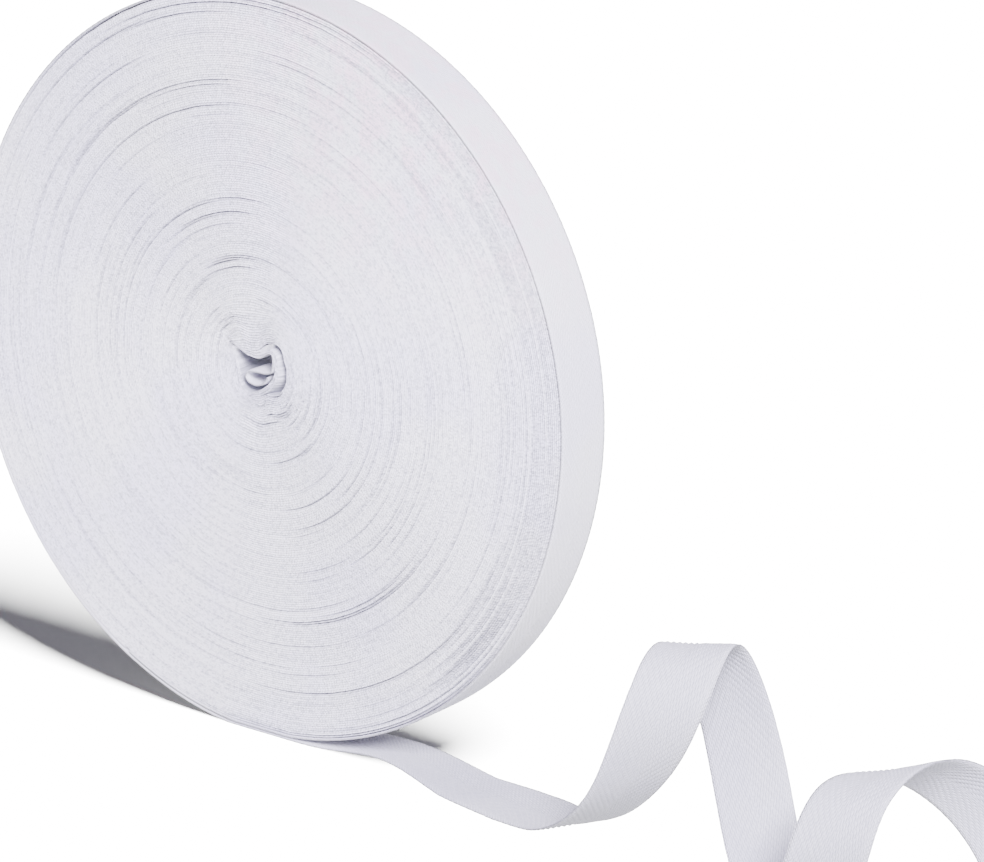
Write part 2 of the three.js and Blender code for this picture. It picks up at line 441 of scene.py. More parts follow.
def finish_geometry(tree, mesh, material):
    realized = tree.add("GeometryNodeRealizeInstances", {0: mesh}).outputs[0]
    dressed = tree.add("GeometryNodeSetMaterial", {"Geometry": realized, "Material": material})
    tree.add("NodeGroupOutput", {0: dressed.outputs[0]})


FLOAT, INT, GEOMETRY = "NodeSocketFloat", "NodeSocketInt", "NodeSocketGeometry"
MATERIAL, OBJECT = "NodeSocketMaterial", "NodeSocketObject"
VECTOR, COLOUR = "NodeSocketVector", "NodeSocketColor"


def grown_mesh(name, node_tree, values):
    """Runs a geometry tree on an empty object, with values by the names of its inputs, and
    returns a plain mesh object of the result."""
    seed = bpy.data.objects.new(name + ".seed", bpy.data.meshes.new(name + ".seed"))
    bpy.context.scene.collection.objects.link(seed)
    modifier = seed.modifiers.new("Grow", "NODES")
    modifier.node_group = node_tree
    for item in node_tree.interface.items_tree:
        if item.item_type == "SOCKET" and item.in_out == "INPUT" and item.name in values:
            modifier[item.identifier] = values[item.name]
    graph = bpy.context.evaluated_depsgraph_get()
    graph.update()
    mesh = bpy.data.meshes.new_from_object(seed.evaluated_get(graph), depsgraph=graph)
    bpy.data.objects.remove(seed)
    if not mesh.polygons:
        raise RuntimeError(f"{name} came out empty")
    mesh.name = name
    piece = bpy.data.objects.new(name, mesh)
    bpy.context.scene.collection.objects.link(piece)
    return piece


def settle(piece, replaces=()):
    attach(piece, "root")
    if replaces:
        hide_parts(*replaces)


# The wound turns


def strip_grid(tree, steps, rows):
    """A flat grid whose X counts steps and whose Y counts rows, both from 0."""
    grid = tree.add(
        "GeometryNodeMeshGrid",
        {"Size X": steps, "Size Y": rows, "Vertices X": steps + 1, "Vertices Y": rows + 1},
    ).outputs["Mesh"]
    x, y, _z = tree.parts(tree.add("GeometryNodeInputPosition").outputs[0])
    step = tree.math("ROUND", x + steps / 2)
    row = tree.math("ROUND", y + rows / 2)
    return grid, step, row


def stored_uv(tree, mesh, u, v):
    stored = tree.add(
        "GeometryNodeStoreNamedAttribute",
        {"Geometry": mesh, "Name": "UVMap", "Value": tree.vector(u, v, 0)},
        data_type="FLOAT2",
        domain="CORNER",
    )
    return stored.outputs[0]


def stored_value(tree, mesh, name, value, selection=True):
    kind = "FLOAT" if isinstance(value, (Number, float)) else "FLOAT_VECTOR"
    stored = tree.add(
        "GeometryNodeStoreNamedAttribute",
        {"Geometry": mesh, "Selection": selection, "Name": name, "Value": value},
        data_type=kind,
        domain="POINT",
    )
    return stored.outputs[0]


def moved_to(tree, mesh, position):
    node = tree.add("GeometryNodeSetPosition", {"Geometry": mesh, "Position": position})
    return node.outputs[0]


def welded(tree, mesh, distance):
    node = tree.add("GeometryNodeMergeByDistance", {"Geometry": mesh, "Distance": distance})
    return node.outputs[0]


DARKEST = 3.0  # millimetres of depth past which the painted shade gets no darker
CORE_SHIFT = (0.8 * MM, 0.6 * MM)  # the innermost turn's middle, across and up from the axis
SLOT_TURN = 2.9  # the slot beside the folded strand opens past this turn
SLOT_GROOVE, SLOT_REACH = 3.27, 0.25  # the groove that is its floor, and half its length
SLOT_STEEPNESS = 3.0  # of the slot, depth against width
CORE_RIPPLE, RIM_RIPPLE = 1.3 * MM, 0.25 * MM
TURN_FRAY = 0.16 * MM  # how far the yarn strays along the face
CREST_FLUFF = 0.2 * MM  # how far it strays out of it
FLAT_RISE, FLAT_BEND = 0.38 * MM, 147 * MM  # the outer turns' flat where the roll stands
FLAT_FADES_IN = 6 * MM
CUT = 0.01 * MM  # between the two halves' hidden backs and the middle of the roll
RIM_ZONE = (58 * MM, 73 * MM)  # radii over which the seams near the rim part more
SEAM_SIDEWAYS, SEAM_AT_RIM = 0.06, 0.13  # how much more seams part at the sides and the rim
SEAM_SHUT, SEAM_PARTED = 0.56, 0.66
CORE_GROOVES = 1.2  # how much deeper the grooves are around the core, as a share
TURN_WELD, BODY_WELD, RIBBON_WELD = 0.004 * MM, 0.002 * MM, 0.003 * MM


def wound_half_tree():
    """One face of the roll: a strip from groove to crest to groove that winds outwards, with
    walls down to the middle of the roll and a flat closing the far side."""
    tree, given = new_tree(
        "Wound turns",
        "GeometryNodeTree",
        [
            ("Turns", FLOAT, 153.92),
            ("Steps", INT, 300),
            ("Pitch", FLOAT, 0.45 * MM),
            ("First reach", FLOAT, 4.3 * MM),
            ("Round from", FLOAT, 15 * MM),
            ("Groove", FLOAT, 0.19 * MM),
            ("Open seam", FLOAT, 0.8 * MM),
            ("Wander", FLOAT, 0.18 * MM),
            ("Depth", FLOAT, 6.5 * MM),
            ("Centre height", FLOAT, 74.5 * MM),
            ("Side", FLOAT, -1.0),
            ("Seed", FLOAT, 0.0),
            ("Material", MATERIAL, None),
        ],
        [("Geometry", GEOMETRY)],
    )
    pitch, steps, turns = given["Pitch"], given["Steps"], given["Turns"]
    first, round_from, seed = given["First reach"], given["Round from"], given["Seed"]
    grid, step, row = strip_grid(tree, tree.math("ROUND", turns * steps), 2)

    turn = tree.math("FLOOR", (step + 0.5) / steps)
    share = (step - turn * steps) / steps  # of the circle, from the bottom through +X
    wraps = tree.math("GREATER_THAN", share, 0.9999)
    share = share - wraps
    spiral = step / steps + row / 2  # in turns, from the innermost groove
    crest = tree.math("COMPARE", row, 1, 0.1)
    radius = first + pitch * spiral
    angle = (share - 0.25) * (2 * math.pi)  # from +X
    degrees_share = tree.math("FRACT", share + 0.75)
    cosine, sine = tree.math("COSINE", angle), tree.math("SINE", angle)

    # How the turns fill in around the folded core
    outward = tree.clamped((radius - first) / (round_from - first))
    core = tree.curve(degrees_share, CORE_OUTLINE, OUTLINE_FULL) * MM
    halfway = tree.curve(degrees_share, HALFWAY_OUTLINE, OUTLINE_FULL) * MM
    near = tree.clamped(outward * 2)
    far = tree.clamped(outward * 2 - 1)
    reach = tree.mixed(tree.mixed(core, halfway, near), tree.most(radius, round_from), far)
    inside = 1 - outward
    centre_x, centre_z = inside * CORE_SHIFT[0], inside * CORE_SHIFT[1]

    # The slot beside the folded strand opens between the third turn and the fourth
    slot = tree.curve(degrees_share, SLOT_WIDTH, OUTLINE_FULL) * MM
    past_slot = tree.math("GREATER_THAN", spiral, SLOT_TURN)
    in_slot = tree.math("COMPARE", spiral, SLOT_GROOVE, SLOT_REACH) * (1 - crest)
    reach = reach + slot * past_slot * inside

    # Unevenness that runs along the turns
    wound = step / steps
    arc = (first * wound + pitch * wound * wound / 2) * (2 * math.pi / MM)
    strayed = tree.noise(tree.vector(spiral * 5 + seed, 0, 0), 1, 3, 0.6) - 0.5
    strayed_wide = tree.noise(tree.vector(spiral * 0.35 + seed, cosine, sine), 1.3, 2) - 0.5
    fluff = tree.noise(tree.vector(arc * 0.9, spiral * 7.3 + seed, 0), 1, 1) - 0.5
    fluff_out = tree.noise(tree.vector(arc * 0.9, spiral * 7.3 + seed, 9), 1, 1) - 0.5
    radial = tree.noise(tree.vector(cosine * radius, sine * radius, seed), 260, 2) - 0.5
    ripple = tree.mixed(CORE_RIPPLE, RIM_RIPPLE, outward)
    reach = reach + radial * ripple * tree.step_between(spiral, 0.5, 4)
    reach = reach + fluff_out * TURN_FRAY * crest

    # Seams part at the sides of the roll more than above and below, and most at the rim
    parting = tree.noise(tree.vector(spiral * 3.1 + seed, 7, 0), 1, 2, 0.6)
    sideways = tree.math("ABSOLUTE", cosine)
    rim_share = tree.step_between(radius, *RIM_ZONE) * tree.most(cosine, 0)
    parting = parting + sideways * SEAM_SIDEWAYS + rim_share * SEAM_AT_RIM
    parted = tree.step_between(parting, SEAM_SHUT, SEAM_PARTED)
    groove = given["Groove"] * (1 + inside * CORE_GROOVES) + parted * given["Open seam"]
    sunk = (1 - crest) * groove + in_slot * slot * SLOT_STEEPNESS
    proud = (strayed + strayed_wide * 0.8) * given["Wander"] + fluff * CREST_FLUFF
    height = given["Depth"] + proud * crest - sunk

    x = centre_x + reach * cosine
    z = centre_z + reach * sine + given["Centre height"]
    lift = tree.most(FLAT_RISE - x * x / FLAT_BEND, 0)
    fade = tree.math("EXPONENT", (radius - first - turns * pitch) / FLAT_FADES_IN)
    low = tree.math("LESS_THAN", sine, 0)
    z = z + lift * fade * low

    # The strip is built lying flat, x and z of the face as x and y, so that it can be filled
    mapped = stored_uv(tree, grid, arc, spiral * pitch / MM)
    # hollow is how deep a point lies below the face; the material paints shade from it, darker in the
    # grooves, parted seams and slot
    shaded = stored_value(tree, mapped, "hollow", tree.least(sunk / (1 * MM), DARKEST))
    flat = moved_to(tree, shaded, tree.vector(x, z, height))
    face = welded(tree, flat, TURN_WELD)

    edge = tree.add("GeometryNodeInputMeshEdgeNeighbors")
    border = tree.math("COMPARE", Number(tree, edge.outputs[0]), 1, 0.1)
    wall = tree.add(
        "GeometryNodeExtrudeMesh",
        {"Mesh": face, "Selection": border, "Offset Scale": 0},
        mode="EDGES",
    )
    px, py, _pz = tree.parts(tree.add("GeometryNodeInputPosition").outputs[0])
    sunk_wall = tree.add(
        "GeometryNodeSetPosition",
        {
            "Geometry": wall.outputs["Mesh"],
            "Selection": wall.outputs["Top"],
            "Position": tree.vector(px, py, CUT),
        },
    ).outputs[0]
    # Painted shade: every wall, the core hole's among them, turns darkest where it reaches the middle of
    # the roll
    sunk_wall = stored_value(tree, sunk_wall, "hollow", DARKEST, wall.outputs["Top"])
    rim = tree.add("GeometryNodeMeshToCurve", {"Mesh": sunk_wall, "Selection": wall.outputs["Top"]})
    ends = tree.add("GeometryNodeFillCurve", {"Curve": rim.outputs[0]}, mode="TRIANGLES")
    cap = moved_to(tree, ends.outputs[0], tree.vector(px, py, CUT))
    cap = tree.add("GeometryNodeFlipFaces", {"Mesh": cap}).outputs[0]
    joined = tree.add("GeometryNodeJoinGeometry")
    for part in (cap, sunk_wall):
        tree.node_tree.links.new(part, joined.inputs[0])
    body = welded(tree, joined.outputs[0], BODY_WELD)
    bx, by, bz = tree.parts(tree.add("GeometryNodeInputPosition").outputs[0])
    stood = moved_to(tree, body, tree.vector(bx, bz * given["Side"], by))
    mirrored = tree.math("LESS_THAN", given["Side"], 0)
    turned = tree.add("GeometryNodeFlipFaces", {"Mesh": stood, "Selection": mirrored}).outputs[0]
    finish_geometry(tree, turned, given["Material"])
    return tree.node_tree


EDGE_SLACK = 0.1 * MM  # how far the turns' mean face lies inside the tape's edges


class TAPE_OT_wound_turns(bpy.types.Operator):
    """Winds the two faces of the roll"""

    bl_idname = "tape.wound_turns"
    bl_label = "Wound turns"

    def execute(self, context):
        sizes = context.scene.tape_roll
        width = context.scene.tape_sizes.wound_width
        node_tree = wound_half_tree()
        material = selvage_cotton(context.scene.tape_colours, sizes.pitch)
        for name, side, seed in (("wound_front", -1.0, 0.0), ("wound_back", 1.0, 41.7)):
            piece = grown_mesh(
                name,
                node_tree,
                {
                    "Turns": sizes.turns,
                    "Steps": sizes.steps,
                    "Pitch": sizes.pitch,
                    "First reach": sizes.first_reach,
                    "Round from": sizes.round_from,
                    "Groove": sizes.groove,
                    "Open seam": sizes.open_seam,
                    "Wander": sizes.wander,
                    "Depth": width / 2 - EDGE_SLACK,
                    "Centre height": ROLL_CENTRE.z,
                    "Side": side,
                    "Seed": seed,
                    "Material": material,
                },
            )
            piece.data.shade_flat()
            settle(piece, replaces=("wound_roll",))
        return {"FINISHED"}


# The tape as a woven ribbon


def spline_point(rows, step):
    """A point of a uniform cubic B-spline over rows, at a step counted in rows."""
    row = min(int(step), len(rows) - 4)
    t = step - row
    weights = (
        (1 - t) ** 3 / 6,
        (3 * t**3 - 6 * t**2 + 4) / 6,
        (-3 * t**3 + 3 * t**2 + 3 * t + 1) / 6,
        t**3 / 6,
    )
    return [
        sum(w * value for w, value in zip(weights, column))
        for column in zip(*rows[row : row + 4])
    ]


def spline_points(rows, fine):
    """The points of a spline over rows, fine of them to each row."""
    spans = len(rows) - 3
    return [spline_point(rows, i / fine) for i in range(spans * fine + 1)]


def guide_object(name, points, across, widths):
    """A line of points with the direction across the tape and its width at each point."""
    mesh = bpy.data.meshes.new(name)
    mesh.from_pydata(points, [(i, i + 1) for i in range(len(points) - 1)], [])
    directions = mesh.attributes.new("across", "FLOAT_VECTOR", "POINT")
    directions.data.foreach_set("vector", np.array(across, np.float32).ravel())
    spread = mesh.attributes.new("width", "FLOAT", "POINT")
    spread.data.foreach_set("value", np.array(widths, np.float32))
    guide = bpy.data.objects.new(name, mesh)
    bpy.context.scene.collection.objects.link(guide)
    guide.hide_render = True
    return guide


LEAD_RIBS = 8  # ribs that run out before the start and, as many again, after the end
PICK_PITCH, PICK_HEIGHT = 0.7 * MM, 0.02 * MM  # the weft's loops along the selvage
SPINE_CREASE = (0.15 * MM, 0.7 * MM)  # from the middle of the tape, where its crease ends
EDGE_SHARE = 0.62  # of the thickness, left at the tape's edges
END_EASE = 0.5 * MM  # over which the relief and the thickness ease off
EDGE_FRAY = 0.16 * MM


def ribbon_tree():
    """A herringbone tape along a guide: rows that follow the ribs' V, around both faces."""
    tree, given = new_tree(
        "Woven ribbon",
        "GeometryNodeTree",
        [
            ("Guide", OBJECT, None),
            ("Ribs", INT, 100),
            ("Rows a rib", INT, 4),
            ("Columns", INT, 16),
            ("Length", FLOAT, 0.2),
            ("Thickness", FLOAT, 0.46 * MM),
            ("Rib pitch", FLOAT, 2 * MM),
            ("Rib height", FLOAT, 0.13 * MM),
            ("Tight width", FLOAT, 13.2 * MM),
            ("Loose width", FLOAT, 14 * MM),
            ("Rib angle", FLOAT, math.radians(30)),
            ("Selvage", FLOAT, 1.1 * MM),
            ("Seed", FLOAT, 0.0),
            ("Material", MATERIAL, None),
        ],
        [("Geometry", GEOMETRY)],
    )
    columns, rows_a_rib = given["Columns"], given["Rows a rib"]
    length, pitch, seed = given["Length"], given["Rib pitch"], given["Seed"]
    rows = given["Ribs"] * rows_a_rib
    loop = columns * 2 + 2
    grid, step, column = strip_grid(tree, rows, loop)

    info = tree.add("GeometryNodeObjectInfo", {"Object": given["Guide"]})
    line = tree.add("GeometryNodeMeshToCurve", {"Mesh": info.outputs["Geometry"]}).outputs[0]

    def sampled(name, data_type, along):
        value = tree.add(
            "GeometryNodeInputNamedAttribute", {"Name": name}, data_type=data_type
        ).outputs[0]
        return tree.add(
            "GeometryNodeSampleCurve",
            {"Curves": line, "Value": value, "Length": along},
            data_type=data_type,
            mode="LENGTH",
            use_all_curves=True,
        )

    # Place across the tape, from -1 at the far edge to 1 at the near one, over both faces
    under = tree.math("GREATER_THAN", column, columns + 0.5)
    closing = tree.math("GREATER_THAN", column, columns * 2 + 1.5)
    below = columns * 2 + 1 - column
    place = tree.mixed(column, below, under) * (1 - closing)
    under = under * (1 - closing)
    lateral = place / columns * 2 - 1
    from_middle = tree.math("ABSOLUTE", lateral)

    first_or_last = tree.math("LESS_THAN", step, 0.5) + tree.math("GREATER_THAN", step, rows - 0.5)
    lead = pitch * LEAD_RIBS
    base = step / rows_a_rib * pitch - lead
    roughly_half = given["Selvage"] * 6.2
    chevron = from_middle * roughly_half / tree.math("TANGENT", given["Rib angle"])
    along = tree.least(tree.most(base + chevron, 0), length)

    at = sampled("across", "FLOAT_VECTOR", along)
    width = Number(tree, sampled("width", "FLOAT", along).outputs["Value"])
    across = tree.vector_math("NORMALIZE", at.outputs["Value"])
    tangent = at.outputs["Tangent"]
    up = tree.vector_math("NORMALIZE", tree.vector_math("CROSS_PRODUCT", across, tangent))

    # Relief: ribs in each half, a smooth selvage, and a soft crease down the spine. The ribs
    # are pulled nearly flat where the tape is wound tight.
    tight, slack = given["Tight width"], given["Loose width"]
    loose = tree.step_between(width, tight, slack)
    inside = (1 - from_middle) * width / 2
    rib_share = tree.step_between(inside, given["Selvage"] * 0.5, given["Selvage"] * 1.1)
    turn = step / rows_a_rib + under * 0.5
    swell = tree.math("COSINE", turn * (2 * math.pi))
    loose_yarn = tree.noise(tree.vector(base * 900, lateral * 3, under * 9 + seed), 1, 2)
    rib = swell * given["Rib height"] * (0.65 + loose_yarn * 0.7) * (0.4 + loose * 0.6)
    spine = tree.step_between(from_middle * width / 2, *SPINE_CREASE)
    relief = rib * rib_share * (0.35 + spine * 0.65)
    edge_thin = EDGE_SHARE + (1 - EDGE_SHARE) * tree.step_between(inside, 0, END_EASE)
    half = given["Thickness"] / 2 * edge_thin
    picks = tree.math("COSINE", along * (2 * math.pi / PICK_PITCH)) * (1 - rib_share)
    from_end = tree.least(along, length - along)
    relief = (relief + picks * PICK_HEIGHT) * tree.step_between(from_end, 0, END_EASE)
    outward = (half + relief) * (1 - first_or_last) * (1 - under * 2)

    ragged = tree.noise(tree.vector(along * 700, lateral * 0.4 + seed, 3), 1, 3) - 0.5
    sideways = lateral * width / 2 + ragged * EDGE_FRAY * from_middle ** 4
    place_3d = tree.vector_math(
        "ADD",
        tree.vector_math("ADD", at.outputs["Position"], tree.scaled(across, sideways)),
        tree.scaled(up, outward),
    )
    mapped = stored_uv(tree, grid, along / MM, lateral * width / 2 / MM + under * 40)
    # How far down between two ribs a point lies, from which the material paints shade in the rib valleys
    hollow = (0.5 - swell / 2) * rib_share
    woven = stored_value(tree, mapped, "weave", tree.vector(turn, 1 - rib_share, hollow))
    eased = stored_value(tree, woven, "loose", loose)
    placed = moved_to(tree, eased, place_3d)
    body = welded(tree, placed, RIBBON_WELD)
    turned = tree.add("GeometryNodeFlipFaces", {"Mesh": body}).outputs[0]
    finish_geometry(tree, turned, given["Material"])
    return tree.node_tree


def ribbon_values(sizes, guide, length, material, seed, columns, rows_a_rib):
    ribs = math.ceil(length / sizes.rib_pitch) + 2 * LEAD_RIBS
    return {
        "Guide": guide,
        "Ribs": ribs,
        "Rows a rib": rows_a_rib,
        "Columns": columns,
        "Length": length,
        "Thickness": sizes.thickness,
        "Rib pitch": sizes.rib_pitch,
        "Rib height": sizes.rib_height,
        "Tight width": sizes.wound_width,
        "Loose width": sizes.loose_width,
        "Rib angle": sizes.rib_angle,
        "Selvage": sizes.selvage,
        "Seed": seed,
        "Material": material,
    }


def path_length(points):
    return sum((b - a).length for a, b in zip(points, points[1:]))


LAST_TURN_RISE = 0.75 * MM  # how much the loosely laid last turn spirals outwards
HIDDEN_START = math.radians(-28)  # where the last turn begins, under its own end
LAST_TURN_STEPS = 420
RIB_BEARING = 0.6  # share of the ribs' height on which the tape rests
ONE_LAYER = 0.62 * MM  # that the turn's start is lifted by what lies under it


def resting_height(sizes):
    """From what the tape rests on to the middle of its thickness."""
    return sizes.thickness / 2 + sizes.rib_height * RIB_BEARING


def last_turn_points(sizes):
    """The middle of the tape around the rim, from under its own end to where it leaves."""
    leaves = 2 * math.pi + math.asin(LEAVES_AT / ROLL_RADIUS)
    lift = resting_height(sizes)
    for i in range(LAST_TURN_STEPS):
        angle = HIDDEN_START + (leaves - HIDDEN_START) * i / LAST_TURN_STEPS
        layer = 1 - angle / (2 * math.pi)
        radius = ROLL_RADIUS - lift - LAST_TURN_RISE * layer
        point = ROLL_CENTRE + radius * Vector((math.sin(angle), 0, -math.cos(angle)))
        lowest = lift + (ONE_LAYER if angle < math.pi else 0)
        point.z = max(point.z, lowest)
        yield point


SPREAD_FROM, SPREAD_OVER = 4, 30  # millimetres along the floor in which the tape widens


def outer_tape_guide(sizes):
    points, across, widths = [], [], []
    for point in last_turn_points(sizes):
        points.append(point)
        across.append((0, -1, 0))
        widths.append(sizes.wound_width)
    lift = resting_height(sizes)
    for x, y, z, heading, tilt in spline_points(ROUTE, 24):
        heading, tilt = math.radians(heading), math.radians(tilt)
        level = max(z, SOLID_HALF_SHEET) - SOLID_HALF_SHEET
        direction = Vector(
            (
                math.cos(tilt) * math.cos(heading),
                math.cos(tilt) * math.sin(heading),
                math.sin(tilt),
            )
        )
        droop = abs(direction.z) * sizes.loose_width / 2
        height = max(level * MM + lift, droop + lift)
        points.append(Vector((x * MM, y * MM, height)))
        across.append(direction)
        eased = min(1, max(0, (x - SPREAD_FROM) / SPREAD_OVER))
        widths.append(sizes.wound_width + (sizes.loose_width - sizes.wound_width) * eased)
    return points, across, widths


class TAPE_OT_outer_tape(bpy.types.Operator):
    """Weaves the last turn and the loose end as one tape"""

    bl_idname = "tape.outer_tape"
    bl_label = "Last turn and loose end"

    def execute(self, context):
        sizes = context.scene.tape_sizes
        points, across, widths = outer_tape_guide(sizes)
        length = path_length(points)
        guide = guide_object("outer_tape.guide", points, across, widths)
        material = woven_cotton(context.scene.tape_colours, sizes)
        piece = grown_mesh(
            "outer_tape",
            woven_ribbon(),
            ribbon_values(sizes, guide, length, material, 2.0, 16, 4),
        )
        bpy.data.objects.remove(guide)
        piece.data.shade_smooth()
        settle(piece, replaces=("loose_end",))
        return {"FINISHED"}


FOLD_SLACK = 0.5 * MM  # by which the folded end is narrower than the wound tape
FOLD_ROW = 1.1 * MM  # from rib to rib there


class TAPE_OT_core_fold(bpy.types.Operator):
    """Folds the tape's inner end into the hollow core"""

    bl_idname = "tape.core_fold"
    bl_label = "Folded inner end"

    def execute(self, context):
        sizes = context.scene.tape_sizes
        rows = [FOLD[0], *FOLD, FOLD[-1]]
        points = [ROLL_CENTRE + Vector((x, 0, z)) * MM for x, z in spline_points(rows, 8)]
        length = path_length(points)
        across = [(0, -1, 0)] * len(points)
        widths = [sizes.wound_width - FOLD_SLACK] * len(points)
        guide = guide_object("core_fold.guide", points, across, widths)
        material = woven_cotton(context.scene.tape_colours, sizes)
        piece = grown_mesh(
            "core_fold",
            woven_ribbon(),
            {
                **ribbon_values(sizes, guide, length, material, 5.0, 12, 6),
                "Rib angle": math.radians(89.9),  # straight rows, which bend with the fold
                "Rib pitch": FOLD_ROW,
                "Ribs": math.ceil(length / FOLD_ROW) + 2 * LEAD_RIBS + 2,
            },
        )
        bpy.data.objects.remove(guide)
        piece.data.shade_smooth()
        settle(piece, replaces=("wound_roll",))
        return {"FINISHED"}


def woven_ribbon():
    return bpy.data.node_groups.get("Woven ribbon") or ribbon_tree()


# Finishes


FIBRE_SCALE, PATCH_SCALE, TONE_SCALE = 2600.0, 210.0, 32.0  # noise cells to the metre
BLUSH_HEIGHT, BLUSH_ALONG = (85 * MM, 130 * MM), (-20 * MM, 30 * MM)


def cotton_group():
    """Cotton yarn: its colour, mixed towards the shade colour by the Depth input, which carries painted
    shade and random tone, with fibres, soft tints and, near the top of the roll, a blush, and the height
    of the fibres for a bump."""
    found = bpy.data.node_groups.get("Cotton yarn")
    if found:
        return found
    tree, given = new_tree(
        "Cotton yarn",
        "ShaderNodeTree",
        [
            ("Place", VECTOR, None),
            ("Depth", FLOAT, 0.0),
            ("Yarn", COLOUR, None),
            ("Shade", COLOUR, None),
            ("Blush", COLOUR, None),
            ("Lilac", COLOUR, None),
        ],
        [("Colour", COLOUR), ("Fibres", FLOAT)],
    )
    place = given["Place"]
    x, _y, z = tree.parts(place)
    fibres = tree.noise(place, FIBRE_SCALE, 4, 0.7)
    tone = tree.noise(place, TONE_SCALE, 2, 0.5)
    patches = tree.noise(place, PATCH_SCALE, 2, 0.6)
    high = tree.step_between(z, *BLUSH_HEIGHT) * tree.step_between(x, *BLUSH_ALONG)
    flush = high * tree.step_between(patches, 0.4, 0.62)
    cool = tree.step_between(tone, 0.45, 0.62)
    tinted = colour_mix(tree, cool * 0.55, given["Yarn"], given["Lilac"])
    tinted = colour_mix(tree, flush * 0.8, tinted, given["Blush"])
    # Painted shade from the Depth input, with random tone from the fibres and soft patches
    painted_shade_and_tone = tree.clamped(given["Depth"] + (fibres - 0.5) * 0.5 + (tone - 0.5) * 0.25)
    out = tree.add("NodeGroupOutput")
    tree.feed(out.inputs["Colour"], colour_mix(tree, painted_shade_and_tone, tinted, given["Shade"]))
    tree.feed(out.inputs["Fibres"], fibres)
    return tree.node_tree


def grouped(tree, node_tree, inputs):
    node = tree.add("ShaderNodeGroup")
    node.node_tree = node_tree
    for key, value in inputs.items():
        tree.feed(node.inputs[key], value)
    return [
        Number(tree, socket) if socket.type == "VALUE" else socket for socket in node.outputs
    ]


def colour_mix(tree, share, a, b):
    node = tree.add("ShaderNodeMix", data_type="RGBA")
    tree.feed(node.inputs[0], share)
    tree.feed(node.inputs[6], a)
    tree.feed(node.inputs[7], b)
    return node.outputs[2]


def cotton_material(name):
    material = bpy.data.materials.new(name)
    material.use_nodes = True
    material.node_tree.nodes.clear()
    tree = Tree(material.node_tree)
    shader = tree.add("ShaderNodeBsdfPrincipled")
    tree.add("ShaderNodeOutputMaterial", {"Surface": shader.outputs[0]})
    shader.inputs["Roughness"].default_value = 0.9
    shader.inputs["Specular IOR Level"].default_value = 0.25
    shader.inputs["Sheen Weight"].default_value = 0.25
    shader.inputs["Sheen Roughness"].default_value = 0.5
    return material, tree, shader


def rgba(colour):
    return (*colour, 1.0)


def yarn_finish(tree, shader, colours, shade_and_tone, relief, bump_height):
    """Colours the shader with painted shade and random tone, and bumps it with relief and the yarn's own
    fibres.
    """
    place = tree.add("ShaderNodeTexCoord").outputs["Object"]
    colour, fibres = grouped(
        tree,
        cotton_group(),
        {
            "Place": place,
            "Depth": shade_and_tone,
            "Yarn": rgba(colours.yarn),
            "Shade": rgba(colours.shade),
            "Blush": rgba(colours.blush),
            "Lilac": rgba(colours.lilac),
        },
    )
    tree.feed(shader.inputs["Base Color"], colour)
    bump = tree.add("ShaderNodeBump", {"Strength": 1.0, "Distance": bump_height})
    tree.feed(bump.inputs["Height"], relief + fibres * 0.4)
    tree.feed(shader.inputs["Normal"], bump.outputs[0])


def attribute(tree, name, output):
    return tree.add("ShaderNodeAttribute", attribute_name=name).outputs[output]


LOOP_PITCH = 0.7  # millimetres from one weft loop to the next along a turn's edge
SELVAGE_BUMP, WEAVE_BUMP = 0.1 * MM, 0.16 * MM


def selvage_cotton(colours, pitch):
    """The turns' edges on the roll's faces: rows of small weft loops, painted darker in the grooves as
    shade.
    """
    material, tree, shader = cotton_material("selvage_cotton")
    uv = tree.add("ShaderNodeUVMap", uv_map="UVMap").outputs[0]
    u, v, _w = tree.parts(uv)
    hollow = Number(tree, attribute(tree, "hollow", "Fac"))
    turn = tree.math("FLOOR", v * (MM / pitch))
    own = tree.noise(tree.vector(turn * 5.3, u * 0.02, 0), 1, 1)
    loops = tree.math("SINE", u * (2 * math.pi / LOOP_PITCH) + own * 60 + tree.noise(uv, 0.5, 1) * 7)
    speckle = tree.step_between(tree.noise(tree.vector(u * 1.1, v * 1.6, 0), 1, 3, 0.65), 0.3, 0.7)
    # Painted shade: darker the deeper a point lies in a groove, a parted seam, the slot or down the
    # walls
    sunk = hollow * 0.6 + tree.most(hollow - 0.5, 0)
    # Tone that differs at random from turn to turn, with painted shade in the low spots of the speckle
    # and the dips between weft loops
    turn_tone_and_dip_shade = (own - 0.5) * 1.1 + (1 - speckle) * 0.9 + (0.5 - loops / 2) * 0.15
    shade_and_tone = sunk + turn_tone_and_dip_shade - 0.42
    yarn_finish(tree, shader, colours, shade_and_tone, loops * 0.3 + speckle, SELVAGE_BUMP)
    return material


